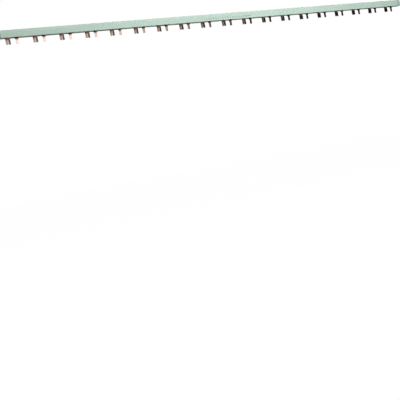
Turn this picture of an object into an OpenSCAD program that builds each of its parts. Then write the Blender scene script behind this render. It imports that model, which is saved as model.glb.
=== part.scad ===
// Comb busbar for modular breakers: two stamped copper combs, one with
// forks and one with pins, slid into an insulating profile with an end cap
// on each end. X runs along the bar, the front looks towards -Y, and the
// teeth point down. All sizes are in millimetres.

/* [Row] */
// Width of one module of the distribution board
module_pitch = 17.8; // [17.4:0.1:18.2]
// Modules in one group: a fork, a pin and the bare places after them
modules_per_group = 3; // [3:1:4]
// Number of tooth groups along the bar
group_count = 19; // [2:1:19]
// Length by which the profile is cut shorter than the full row of modules
row_trim = 2.6; // [1:0.1:4]
// Distance from the left end of the profile to the middle of the first fork
first_fork = 13.7; // [10:0.1:16]

/* [Housing] */
// Height of the profile, from its top to its lower lips
housing_h = 15; // [14:0.1:18]
// Depth of the profile, front to back
housing_d = 12; // [11:0.1:16]
// Thickness of the front and back walls
wall_t = 1.6; // [1.2:0.1:2]
// Height of the sloping band along the top of the front
bevel_h = 5; // [3:0.1:6]
// How far that band leans back at the top
bevel_in = 2.2; // [1:0.1:2.6]
// Plastic between the top of the profile and the slots for the copper
roof_t = 3.4; // [2.8:0.1:3.8]
// Plastic above the hollow in the web between the two slots
chamber_roof_t = 1.6; // [1.2:0.1:2.4]
// Thickness of the two skins of that web
skin_t = 1.2; // [0.8:0.1:1.4]
// Thickness of the floor that closes the hollow
chamber_floor_t = 1.2; // [0.8:0.1:1.6]
// Radius on the long outer edges of the profile
edge_r = 0.6; // [0.3:0.1:0.8]

/* [Copper] */
// Thickness of the copper sheet
copper_t = 1.5; // [1:0.1:1.8]
// Height of the strip that joins the teeth of one comb
strip_h = 8.4; // [6:0.1:8.8]
// How far each strip reaches past the profile, inside the end cap
strip_proud = 2.5; // [1:0.1:4]
// How far the teeth reach below the lips of the profile
tooth_drop = 12.3; // [11:0.1:15]
// Inner radius of the two bends in each tooth
bend_r = 0.8; // [0.5:0.1:1]
// Slope of the stretch between the two bends, from the vertical
bend_angle = 45; // [40:1:55]
// Radius on the corners of the tips
tip_r = 0.9; // [0.3:0.1:1]
// Radius where a tooth leaves its strip
root_r = 1; // [0.5:0.1:2]

/* [Forks] */
// Width of a fork over both tines
fork_w = 9; // [8.6:0.1:11]
// Width of the slot between the tines
slot_w = 1.2; // [0.8:0.1:2.4]
// Length of the slot, from the tips upward
slot_len = 9.4; // [7:0.1:10]

/* [Pins] */
// Width of a pin at its tip
pin_w = 4.4; // [4:0.1:5.4]
// Width of the shoulder that carries the bends of a pin
shoulder_w = 7; // [6.4:0.1:8]
// Height left straight below the shoulder
pin_len = 8.8; // [7.5:0.1:9.2]

/* [End caps] */
// Length of an end cap outside the profile
cap_len = 10; // [8:0.1:14]
// Thickness of the end wall and the floor of an end cap
cap_wall = 1.4; // [1:0.1:1.8]
// How far the cap stands back from the outside of the profile
cap_inset = 0.3; // [0.1:0.05:0.5]
// Radius on the outer corners of the cap
cap_r = 1.5; // [0.5:0.1:2.5]
// Chamfer on the rim that meets the profile
rim_chamfer = 0.5; // [0.3:0.1:0.8]
// Length of the tongue inside the hollow web
tongue_len = 9; // [6:0.1:14]

/* [Fits] */
// Clearance between the copper and each face of its slot
slot_clearance = 0.15; // [0.1:0.05:0.2]
// Clearance above each strip
strip_clearance = 0.2; // [0.1:0.05:0.3]
// Clearance round the tongue of an end cap
tongue_clearance = 0.1; // [0.05:0.05:0.2]

/* [Hidden] */

// Straight steps in one rounded corner
arc_steps = 5;
// Overlap that makes two solids of one piece share material
bite = 0.5;
// Length added to a cut so that it passes clean through
through = 1;

plastic_colour = [0.74, 0.82, 0.77];
cap_colour = [0.68, 0.76, 0.72];
copper_colour = [0.80, 0.52, 0.42];

// Row: where the profile and the teeth stand along X
group_pitch = modules_per_group * module_pitch;
housing_len = group_count * group_pitch - row_trim;
fork_x0 = first_fork - housing_len / 2;
pin_x0 = fork_x0 + module_pitch;
strip_len = housing_len + 2 * strip_proud;

// Heights: the origin lies halfway between the tips and the top
top_z = (housing_h + tooth_drop) / 2;
lip_z = top_z - housing_h;
tip_z = lip_z - tooth_drop;
slot_top_z = top_z - roof_t;
strip_top_z = slot_top_z - strip_clearance;
strip_low_z = strip_top_z - strip_h;

// Depths: each slot lies against its outer wall, the teeth in mid-depth
slot_t = copper_t + 2 * slot_clearance;
strip_y = housing_d / 2 - wall_t - slot_t / 2;
web_half = strip_y - slot_t / 2;
tooth_y = 0;

// Bends: the strip turns towards mid-depth and back to the vertical
bend_mid_r = bend_r + copper_t / 2;
bend_run = strip_y - tooth_y - 2 * bend_mid_r * (1 - cos(bend_angle));
bend_fall = 2 * bend_mid_r * sin(bend_angle) + bend_run / tan(bend_angle);
bend_low_z = strip_low_z - bend_fall;

// A corner of an outline replaced by an arc of the given radius
function rounded_corner(before, corner, after, r) =
    let (
        to_before = (before - corner) / norm(before - corner),
        to_after = (after - corner) / norm(after - corner),
        half = acos(to_before * to_after) / 2,
        bisector = (to_before + to_after) / norm(to_before + to_after),
        centre = corner + bisector * r / sin(half),
        first = corner + to_before * r / tan(half) - centre,
        last = corner + to_after * r / tan(half) - centre,
        sweep = 180 - 2 * half
    )
    [for (i = [0:arc_steps])
        centre + (first * sin(sweep * (1 - i / arc_steps))
                  + last * sin(sweep * i / arc_steps)) / sin(sweep)];

// A closed outline from rows of [x, y, radius], a radius of 0 staying sharp
function rounded_outline(rows) =
    let (count = len(rows))
    [for (i = [0:count - 1])
        let (
            before = rows[(i + count - 1) % count],
            here = rows[i],
            after = rows[(i + 1) % count]
        )
        each here[2] == 0
            ? [[here[0], here[1]]]
            : rounded_corner([before[0], before[1]], [here[0], here[1]],
                             [after[0], after[1]], here[2])];

// Points of an arc, by its centre, radius and two angles
function arc_points(centre, r, from, to) =
    [for (i = [0:arc_steps])
        let (a = from + (to - from) * i / arc_steps)
        centre + r * [cos(a), sin(a)]];

// A flat section in Y and Z drawn out along X, centred on X = 0
module along_x(length) {
    rotate([90, 0, 90])
        linear_extrude(height = length, center = true)
            children();
}

// A front view in X and Z drawn out along Y, centred on Y = 0
module along_y(depth) {
    rotate([90, 0, 0])
        linear_extrude(height = depth, center = true)
            children();
}

// ---- Housing ----

// Outer outline of the profile, drawn inset by a margin for the end caps.
// The bottom stays level with the lips.
module profile_outline(inset) {
    front = inset - housing_d / 2;
    back = housing_d / 2 - inset;
    top = top_z - inset;
    polygon(rounded_outline([
        [front, lip_z, edge_r],
        [front, top_z - bevel_h, edge_r],
        [front + bevel_in, top, edge_r],
        [back, top, edge_r],
        [back, lip_z, edge_r]
    ]));
}

// The two slots, and the space under the web where the teeth bend inward
module slots() {
    for (side = [-1, 1])
        translate([side * strip_y - slot_t / 2, strip_low_z - bite])
            square([slot_t, slot_top_z - strip_low_z + bite]);
    mouth = strip_y + slot_t / 2;
    translate([-mouth, lip_z - through])
        square([2 * mouth, strip_low_z - lip_z + through]);
}

// The hollow of the web, which an end cap's tongue plugs into
module chamber(margin) {
    half = web_half - skin_t - margin;
    low = strip_low_z + chamber_floor_t + margin;
    high = top_z - chamber_roof_t - margin;
    translate([-half, low])
        square([2 * half, high - low]);
}

module housing() {
    color(plastic_colour)
        along_x(housing_len)
            difference() {
                profile_outline(0);
                slots();
                chamber(0);
            }
}

// ---- Copper combs ----

// Each comb is one stamped sheet. It is drawn as a strip and a row of teeth
// that meet at the lower edge of the strip, where the bends begin.

// The strip that joins the teeth: side is -1 for the front slot, 1 for the back
module strip(side) {
    color(copper_colour)
        translate([-strip_len / 2, side * strip_y - copper_t / 2, strip_low_z])
            cube([strip_len, copper_t, strip_h]);
}

// Side view of a tooth: from its slot it bends to mid-depth, then hangs
// straight down
module bent_sheet(side) {
    half_t = copper_t / 2;
    high = [bend_mid_r - strip_y, strip_low_z];
    low = [tooth_y - bend_mid_r, bend_low_z];
    mirror([side > 0 ? 1 : 0, 0])
        polygon(concat(
            arc_points(high, bend_mid_r + half_t, 180, 180 + bend_angle),
            arc_points(low, bend_mid_r - half_t, bend_angle, 0),
            [[tooth_y - half_t, tip_z], [tooth_y + half_t, tip_z]],
            arc_points(low, bend_mid_r + half_t, 0, bend_angle),
            arc_points(high, bend_mid_r - half_t, 180 + bend_angle, 180)
        ));
}

// Right and left edges of a tooth of the given width where it flares out
// into the strip
function flare_right(width) =
    arc_points([width / 2 + root_r, strip_low_z - root_r], root_r, 180, 90);
function flare_left(width) =
    arc_points([-width / 2 - root_r, strip_low_z - root_r], root_r, 90, 0);

// Front view of one fork: two tines with a round-ended slot between them
module fork_blank() {
    slot_r = 0.45 * slot_w;
    polygon(concat(
        flare_left(fork_w),
        rounded_outline([
            [-fork_w / 2, strip_low_z - root_r, 0],
            [-fork_w / 2, tip_z, tip_r],
            [-slot_w / 2, tip_z, tip_r],
            [-slot_w / 2, tip_z + slot_len, slot_r],
            [slot_w / 2, tip_z + slot_len, slot_r],
            [slot_w / 2, tip_z, tip_r],
            [fork_w / 2, tip_z, tip_r],
            [fork_w / 2, strip_low_z - root_r, 0]
        ]),
        flare_right(fork_w)
    ));
}

// Front view of one pin: a wide shoulder, then a narrow straight blade
module pin_blank() {
    neck = (shoulder_w - pin_w) / 2;
    neck_z = tip_z + pin_len;
    polygon(concat(
        flare_left(shoulder_w),
        rounded_outline([
            [-shoulder_w / 2, strip_low_z - root_r, 0],
            [-shoulder_w / 2, neck_z + neck, tip_r / 2],
            [-pin_w / 2, neck_z, tip_r / 2],
            [-pin_w / 2, tip_z, tip_r],
            [pin_w / 2, tip_z, tip_r],
            [pin_w / 2, neck_z, tip_r / 2],
            [shoulder_w / 2, neck_z + neck, tip_r / 2],
            [shoulder_w / 2, strip_low_z - root_r, 0]
        ]),
        flare_right(shoulder_w)
    ));
}

// A row of teeth is one bent sheet, cut to its front view. The child is the
// front view of one tooth.
module teeth(side, first_x) {
    color(copper_colour)
        intersection() {
            along_x(strip_len)
                bent_sheet(side);
            along_y(housing_d)
                for (i = [0:group_count - 1])
                    translate([first_x + i * group_pitch, 0])
                        children();
        }
}

module fork_strip() {
    strip(-1);
}

module fork_teeth() {
    teeth(-1, fork_x0)
        fork_blank();
}

module pin_strip() {
    strip(1);
}

module pin_teeth() {
    teeth(1, pin_x0)
        pin_blank();
}

// ---- End caps ----

// Front or top view of a cap: rounded where it ends, chamfered at the rim
module cap_view(low, high) {
    end = -housing_len / 2 - cap_len;
    rim = -housing_len / 2;
    polygon(rounded_outline([
        [end, high, cap_r],
        [end, low, cap_r],
        [rim - rim_chamfer, low, 0],
        [rim, low + rim_chamfer, 0],
        [rim, high - rim_chamfer, 0],
        [rim - rim_chamfer, high, 0]
    ]));
}

// Left cap: a hollow shell over the ends of the strips, with a tongue that
// plugs into the web
module end_cap() {
    rim_x = -housing_len / 2;
    end_wall_x = rim_x - cap_len + cap_wall;
    half_y = housing_d / 2 - cap_inset;
    pocket_y = strip_y + slot_t / 2;
    pocket_z = lip_z + cap_wall;
    color(cap_colour) {
        difference() {
            intersection() {
                along_x(housing_len + 2 * cap_len)
                    profile_outline(cap_inset);
                along_y(housing_d)
                    cap_view(lip_z, top_z - cap_inset);
                translate([0, 0, lip_z])
                    linear_extrude(height = housing_h)
                        cap_view(-half_y, half_y);
            }
            translate([end_wall_x, -pocket_y, pocket_z])
                cube([cap_len, 2 * pocket_y, slot_top_z - pocket_z]);
        }
        intersection() {
            translate([end_wall_x - bite, -housing_d / 2, lip_z])
                cube([rim_x + tongue_len - end_wall_x + bite, housing_d, housing_h]);
            along_x(housing_len + 2 * cap_len)
                chamber(tongue_clearance);
        }
    }
}

module end_cap_left() {
    end_cap();
}

module end_cap_right() {
    mirror([1, 0, 0])
        end_cap();
}

housing();
fork_strip();
fork_teeth();
pin_strip();
pin_teeth();
end_cap_left();
end_cap_right();
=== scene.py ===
import math

import bpy
import numpy as np
from mathutils import Matrix, Vector


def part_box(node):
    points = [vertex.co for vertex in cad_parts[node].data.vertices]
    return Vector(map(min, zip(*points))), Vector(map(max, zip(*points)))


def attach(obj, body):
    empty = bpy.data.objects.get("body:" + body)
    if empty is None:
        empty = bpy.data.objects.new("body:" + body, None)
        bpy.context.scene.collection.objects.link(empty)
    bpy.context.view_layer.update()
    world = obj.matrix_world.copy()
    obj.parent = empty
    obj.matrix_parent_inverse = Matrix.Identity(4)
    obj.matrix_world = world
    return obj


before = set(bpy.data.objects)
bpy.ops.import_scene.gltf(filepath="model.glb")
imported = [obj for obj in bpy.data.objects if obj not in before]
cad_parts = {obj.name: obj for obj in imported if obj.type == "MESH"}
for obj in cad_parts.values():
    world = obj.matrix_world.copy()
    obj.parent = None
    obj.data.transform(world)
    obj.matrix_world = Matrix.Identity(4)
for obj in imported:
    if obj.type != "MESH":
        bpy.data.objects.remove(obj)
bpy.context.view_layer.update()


# ---- Housing ----
# The housing is one length of rigid PVC, drawn through a die and sawn off at
# both ends. It insulates two copper combs. The die leaves fine lines along the
# bar, and the pigment is a pale grey green.

class Wire:
    """One output socket of a shader node. Sums and products of wires add Math nodes."""

    def __init__(self, tree, socket=None):
        self.tree = tree
        self.socket = socket

    def node(self, kind, settings=None, output=0, **sockets):
        """Adds a node: its settings first, then the values or links of its sockets.

        A socket is given by its name with underscores, or as i0, i1 by its place.
        """
        made = self.tree.nodes.new(kind)
        for name, value in (settings or {}).items():
            setattr(made, name, value)
        for name, value in sockets.items():
            place = int(name[1:]) if name[0] == "i" and name[1:].isdigit() else name.replace("_", " ")
            socket = made.inputs[place]
            if isinstance(value, Wire):
                self.tree.links.new(value.socket, socket)
            else:
                socket.default_value = value
        return None if output is None else Wire(self.tree, made.outputs[output])

    def maths(self, operation, first, second):
        return self.node("ShaderNodeMath", {"operation": operation}, i0=first, i1=second)

    def __add__(self, other):
        return self.maths("ADD", self, other)

    __radd__ = __add__

    def __sub__(self, other):
        return self.maths("SUBTRACT", self, other)

    def __rsub__(self, other):
        return self.maths("SUBTRACT", other, self)

    def __mul__(self, other):
        return self.maths("MULTIPLY", self, other)

    __rmul__ = __mul__

    def __truediv__(self, other):
        return self.maths("DIVIDE", self, other)

    def __rtruediv__(self, other):
        return self.maths("DIVIDE", other, self)

    def apart(self):
        """The X, Y and Z of this position or direction, as three wires."""
        first = self.node("ShaderNodeSeparateXYZ", Vector=self)
        return [Wire(self.tree, socket) for socket in first.socket.node.outputs]

    def blend(self, low, high):
        """A colour that goes from low to high as this wire goes from 0 to 1."""
        return self.node("ShaderNodeMix", {"data_type": "RGBA"}, output=2, i0=self, i6=low, i7=high)

    def ramp(self, low, high):
        """0 below low, 1 above high, and a smooth step between."""
        return self.node("ShaderNodeMapRange", {"interpolation_type": "SMOOTHSTEP"},
                         Value=self, From_Min=low, From_Max=high)

    def grain(self, cells, detail=2.0):
        """Noise from 0 to 1 on this position, with this many cells a metre along X, Y and Z."""
        stretched = self.node("ShaderNodeMapping", Vector=self, Scale=cells)
        return self.node("ShaderNodeTexNoise", Vector=stretched, Scale=1.0, Detail=detail)

    def bump(self, height):
        """The normal of a face with this height, in metres."""
        return self.node("ShaderNodeBump", Strength=1.0, Distance=1.0, Height=height)


def start_material(name):
    """A new material, and the wire of the position on its object."""
    made = bpy.data.materials.new(name)
    made.use_nodes = True
    made.node_tree.nodes.clear()
    return made, Wire(made.node_tree).node("ShaderNodeTexCoord", output=3)


def finish_material(made, shader):
    """Sends the shader's wire to the surface of the material."""
    shader.node("ShaderNodeOutputMaterial", output=None, Surface=shader)
    return made


def dress(node, made):
    """Gives a CAD node this material in each of its slots."""
    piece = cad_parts[node]
    if not piece.material_slots:
        piece.data.materials.append(made)
    for slot in piece.material_slots:
        slot.material = made


plastic_ior = 1.5
pigment_cells = (14, 60, 60)
die_line_cells = (3, 1500, 1500)
speck_cells = (2600, 2600, 2600)
die_line_depth = 0.000003
speck_depth = 0.000001
die_line_sheen = 0.12
pigment_sheen = 0.06


def drawn_plastic(name, pale, deep, rough):
    """Drawn or moulded plastic: cloudy pigment, lines along the bar, a fine grain."""
    made, place = start_material(name)
    cloud = place.grain(pigment_cells, 3.0)
    lines = place.grain(die_line_cells)
    speck = place.grain(speck_cells, 1.0)
    tint = (cloud * 0.7 + lines * 0.3).ramp(0.3, 0.7)
    colour = tint.blend(deep, pale)
    gloss = rough + (lines - 0.5) * die_line_sheen + (cloud - 0.5) * pigment_sheen
    normal = place.bump(lines * die_line_depth + speck * speck_depth)
    shader = place.node("ShaderNodeBsdfPrincipled", Base_Color=colour, Roughness=gloss,
                        Normal=normal, IOR=plastic_ior)
    return finish_material(made, shader)


grey_green = drawn_plastic("drawn_grey_green_pvc", pale=(0.515, 0.655, 0.575, 1),
                           deep=(0.475, 0.62, 0.535, 1), rough=0.42)
dress("housing", grey_green)


# ---- Copper combs ----
# Each comb is stamped from a bright rolled copper strip 1.5 mm thick and bent
# in a press. The punch rolls the edges of each tooth over a little, so its
# face is slightly crowned. Where the roots leave the slot, they carry painted
# shade: a dark brown that stands in for the lip's shadow.

module = 0.0178
modules_per_group = 3
group = modules_per_group * module
fork_width = 0.0090
root_radius = 0.0010
# The box of the teeth starts where the rounded root of the first fork does.
first_fork_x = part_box("fork_teeth")[0].x + fork_width / 2 + root_radius
first_pin_x = first_fork_x + module
lip_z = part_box("housing")[0].z

# Below the lip, the painted shade on the roots is full down to the first depth and gone at the
# second.
root_shade_full = 0.0008
root_shade_gone = 0.0060
root_shade_slant = 0.35
mill_line_cells = (90, 90, 2600)
mill_line_depth = 0.000003
# The mottle cells vary the copper's tone, and the painted shade on the roots.
copper_mottle_cells = (160, 160, 160)

polished_rough = 0.12
cloud_rough = 0.06
# This roughness is added where the painted shade lies on the roots.
root_shade_rough = 0.2
sheared_rough = 0.3

bright_copper = (0.95, 0.68, 0.60, 1)
dull_copper = (0.90, 0.60, 0.52, 1)
# These two browns are painted shade: the lip's shadow on the roots, put into their colour.
painted_shade_brown = (0.13, 0.055, 0.035, 1)
painted_shade_dark = (0.06, 0.025, 0.015, 1)
sheared_edge = (0.09, 0.045, 0.032, 1)


def rolled_copper(name, first_x, crown, turn, bow, lift):
    """Rolled copper with a crowned face on each tooth of a comb that bows in its slot.

    d is how far x lies to the right of the middle of the nearest tooth. The face drops by
    crown * d * d + turn * x - bow * x * x / 2 + lift * x * x * x / 3. The faces that look
    along the bar are the sheared edges, which are dull and dark.
    """
    made, place = start_material(name)
    x, _, z = place.apart()
    share = place.node("ShaderNodeMath", {"operation": "FRACT"}, i0=(x - first_x) / group + 0.5)
    d = (share - 0.5) * group
    face = (d * d * crown + (turn + x * (x * (lift / 3) - bow / 2)) * x) * -1.0
    mill_lines = place.grain(mill_line_cells)
    cloud = place.grain(copper_mottle_cells, 3.0)
    # The roots below the lip get painted shade. It is full near the lip, gone lower down, and slanted
    # across each tooth.
    out_of_root_shade = (lip_z - z + d * root_shade_slant).ramp(root_shade_full, root_shade_gone)
    bright = cloud.ramp(0.35, 0.75).blend(dull_copper, bright_copper)
    root_shade_colour = cloud.ramp(0.3, 0.7).blend(painted_shade_dark, painted_shade_brown)
    facing = place.node("ShaderNodeNewGeometry", output="True Normal")
    aside = place.node("ShaderNodeVectorMath", {"operation": "ABSOLUTE"}, i0=facing)
    sheared = aside.apart()[0].ramp(0.5, 0.9)
    colour = sheared.blend((out_of_root_shade * 0.85 + cloud * 0.15).blend(root_shade_colour, bright), sheared_edge)
    rough = (polished_rough + cloud * cloud_rough + (1 - out_of_root_shade) * root_shade_rough
             + sheared * sheared_rough)
    normal = place.bump(face + mill_lines * mill_line_depth)
    shader = place.node("ShaderNodeBsdfPrincipled", Base_Color=colour, Metallic=1.0,
                        Roughness=rough, Normal=normal)
    return finish_material(made, shader)


tooth_crown = 6.0
fork_copper = rolled_copper("rolled_copper_forks", first_fork_x, tooth_crown,
                            turn=0.042, bow=0.028, lift=0.33)
pin_copper = rolled_copper("rolled_copper_pins", first_pin_x, tooth_crown,
                           turn=0.0285, bow=-0.182, lift=0.25)
dress("fork_strip", fork_copper)
dress("fork_teeth", fork_copper)
dress("pin_strip", pin_copper)
dress("pin_teeth", pin_copper)


# ---- End caps ----
# Each end cap is a small moulding in a slightly darker grey green. It covers
# the bare ends of the strips, and its tongue holds it in the hollow web.

cap_green = drawn_plastic("moulded_cap_plastic", pale=(0.37, 0.485, 0.47, 1),
                          deep=(0.345, 0.46, 0.445, 1), rough=0.48)
dress("end_cap_left", cap_green)
dress("end_cap_right", cap_green)


# ---- Print on the front ----
# A row of small plain numbers is stamped in grey ink on the middle of the
# front wall. The ink film is thin, and it has not taken evenly.

number_count = 20
number_spacing = 0.0060
number_height = 0.0030
letter_size = 1.4 * number_height
stroke_growth = 0.00012
ink_film = 0.00002
row_above_lip = 0.0032
curve_steps = 3
front_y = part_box("housing")[0].y
row_z = lip_z + row_above_lip
blot_cells = (2500, 2500, 2500)
full_ink = (0.10, 0.13, 0.12, 1)
thin_ink = (0.36, 0.46, 0.41, 1)


def stamped_number(value, x):
    """The outline of a number as points and triangles on the front wall, centred on x.

    A flat letter at (u, v) goes to X = x + u, Y = the wall less the ink, Z = v + the row's height.
    """
    words = bpy.data.curves.new("number", "FONT")
    words.body = str(value)
    words.size = letter_size
    words.align_x = "CENTER"
    words.resolution_u = curve_steps
    words.offset = stroke_growth
    holder = bpy.data.objects.new("number", words)
    flat = holder.to_mesh()
    letter = np.empty(3 * len(flat.vertices))
    flat.vertices.foreach_get("co", letter)
    letter = letter.reshape(-1, 3)
    wall = np.full(len(letter), front_y - ink_film)
    corners = np.empty(len(flat.loops), dtype=np.int32)
    flat.loops.foreach_get("vertex_index", corners)
    holder.to_mesh_clear()
    bpy.data.objects.remove(holder)
    bpy.data.curves.remove(words)
    return np.stack([x + letter[:, 0], wall, row_z + letter[:, 1]], -1), corners.reshape(-1, 3)


points = np.empty((0, 3))
triangles = np.empty((0, 3), dtype=np.int32)
for printed in range(number_count):
    from_middle = printed - (number_count - 1) / 2
    placed, outline = stamped_number(printed + 1, from_middle * number_spacing)
    triangles = np.concatenate([triangles, outline + len(points)])
    points = np.concatenate([points, placed])
number_mesh = bpy.data.meshes.new("stamped_numbers")
number_mesh.from_pydata(points.tolist(), [], triangles.tolist())
number_mesh.update()
numbers = bpy.data.objects.new("stamped_numbers", number_mesh)
bpy.context.scene.collection.objects.link(numbers)
film = numbers.modifiers.new("film", "SOLIDIFY")
film.thickness = 2 * ink_film
film.offset = -1
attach(numbers, "root")

ink, ink_place = start_material("grey_stamping_ink")
cover = ink_place.grain(blot_cells).ramp(0.3, 0.6)
ink_colour = cover.blend(thin_ink, full_ink)
ink_rough = 0.5 + (1 - cover) * 0.15
ink_shader = ink_place.node("ShaderNodeBsdfPrincipled", Base_Color=ink_colour,
                            Roughness=ink_rough, IOR=plastic_ior)
numbers.data.materials.append(finish_material(ink, ink_shader))


# ---- Studio ----
# A pale floor lies well below the bar, which hangs over it as it would in a
# board. Soft lamps stand in front, above, behind and low in front. The walls
# of the room show only in the copper.

floor_z = -0.5
floor_half = 30.0
white = (1, 1, 1, 1)
floor_grey = (0.42, 0.42, 0.42, 1)
floor_glow = 1.06
glow_seen = 0.93
glow_mirrored = 0.6


def stage_grid(name, half, z):
    """A flat square of side 2 * half at height z: X = half * u, Y = half * v, Z = z."""
    u, v = np.meshgrid(np.linspace(-1, 1, 3), np.linspace(-1, 1, 3), indexing="ij")
    points = np.stack([half * u, half * v, np.full_like(u, z)], -1).reshape(-1, 3)
    i, j = np.meshgrid(np.arange(2), np.arange(2), indexing="ij")
    corner = (3 * i + j).ravel()
    faces = np.stack([corner, corner + 3, corner + 4, corner + 1], -1)
    mesh = bpy.data.meshes.new(name)
    mesh.from_pydata(points.tolist(), [], faces.tolist())
    mesh.update()
    made = bpy.data.objects.new(name, mesh)
    bpy.context.scene.collection.objects.link(made)
    return made


floor = stage_grid("studio_floor", floor_half, floor_z)
floor_paint, floor_place = start_material("studio_floor_paint")
matt = floor_place.node("ShaderNodeBsdfDiffuse", Color=floor_grey)
glow = floor_place.node("ShaderNodeEmission", Color=white, Strength=floor_glow)
clear = floor_place.node("ShaderNodeBsdfTransparent")
seen = floor_place.node("ShaderNodeLightPath", output="Is Camera Ray")
mirrored = floor_place.node("ShaderNodeLightPath", output="Is Glossy Ray")
back = floor_place.node("ShaderNodeNewGeometry", output="Backfacing")
glowing = seen * glow_seen + mirrored * glow_mirrored
pale = floor_place.node("ShaderNodeMixShader", Fac=glowing, i1=matt, i2=glow)
one_sided = floor_place.node("ShaderNodeMixShader", Fac=back, i1=pale, i2=clear)
floor.data.materials.append(finish_material(floor_paint, one_sided))

world = bpy.data.worlds.new("studio_room")
world.use_nodes = True
world.node_tree.nodes.clear()
room = Wire(world.node_tree)
seen = room.node("ShaderNodeLightPath", output="Is Camera Ray")
mirrored = room.node("ShaderNodeLightPath", output="Is Glossy Ray")
to_right, to_back, upward = room.node("ShaderNodeTexCoord", output=0).apart()

# An edge is the cosine of its direction from the bar's own, and a glow is a strength of light.
wall_edge = 0.39
wall_glow = 0.45
window_edge = 0.16
window_glow = 0.5
screen_edge = 0.53
screen_glow = 0.4
back_edge = -0.45
back_glow = 0.7
back_dusk = 0.03
ground_share = 0.15
room_dusk = 0.006
room_light = 0.25

short_of_wall = (wall_edge - to_right).ramp(-0.05, 0.05)
wall = short_of_wall * wall_glow
window = short_of_wall * (to_right - window_edge).ramp(-0.06, 0.06) * window_glow
screen = (screen_edge - to_right).ramp(-0.1, 0.1) * screen_glow
back_wall = (to_right - back_edge).ramp(-0.1, 0.1) * back_glow + back_dusk
behind = to_back.ramp(-0.1, 0.1)
above = upward.ramp(-0.2, 0.05) * (1 - ground_share) + ground_share
front = (wall + window + screen) * (1 - behind)
glare = (front + behind * back_wall) * above + room_dusk

backdrop = room.node("ShaderNodeBackground", Color=white, Strength=1.0)
soft = room.node("ShaderNodeBackground", Color=white, Strength=room_light)
mirror = room.node("ShaderNodeBackground", Color=white, Strength=glare)
lit = room.node("ShaderNodeMixShader", Fac=mirrored, i1=soft, i2=mirror)
shown = room.node("ShaderNodeMixShader", Fac=seen, i1=lit, i2=backdrop)
room.node("ShaderNodeOutputWorld", output=None, Surface=shown)
bpy.context.scene.world = world


def soft_lamp(name, at, aim, width, height, watts):
    """A rectangular lamp at a point, turned to another. Mirrors don't show it."""
    lamp = bpy.data.lights.new(name, "AREA")
    lamp.shape = "RECTANGLE"
    lamp.size = width
    lamp.size_y = height
    lamp.energy = watts
    made = bpy.data.objects.new(name, lamp)
    made.location = at
    made.rotation_euler = (Vector(aim) - Vector(at)).to_track_quat("-Z", "Y").to_euler()
    made.visible_glossy = False
    bpy.context.scene.collection.objects.link(made)


soft_lamp("front_lamp", at=(0.05, -0.95, 0.15), aim=(0.05, 0, 0), width=0.4, height=0.4, watts=7.5)
soft_lamp("top_lamp", at=(0.1, -0.45, 1.3), aim=(0.05, 0, 0), width=1.6, height=0.6, watts=5.5)
soft_lamp("back_lamp", at=(-0.1, 1.15, 0.45), aim=(0, 0, 0), width=1.2, height=0.5, watts=9.0)
soft_lamp("low_lamp", at=(0.35, -0.35, -0.42), aim=(0.2, 0, 0), width=0.6, height=0.3, watts=0.3)

camera_place = (-0.8446, -1.3315, -0.3041)
yaw = math.radians(27.46)
pitch = math.radians(-2.86)
roll = math.radians(10.779)
lens = bpy.data.cameras.new("camera")
lens.sensor_width = 36.0
lens.lens = 63.0
lens.clip_start = 0.01
camera = bpy.data.objects.new("camera", lens)
camera.matrix_world = (
    Matrix.Translation(camera_place)
    @ Matrix.Rotation(-yaw, 4, "Z")
    @ Matrix.Rotation(math.pi / 2 + pitch, 4, "X")
    @ Matrix.Rotation(-roll, 4, "Z")
)
bpy.context.scene.collection.objects.link(camera)
bpy.context.scene.camera = camera
bpy.context.scene.view_settings.view_transform = "Standard"
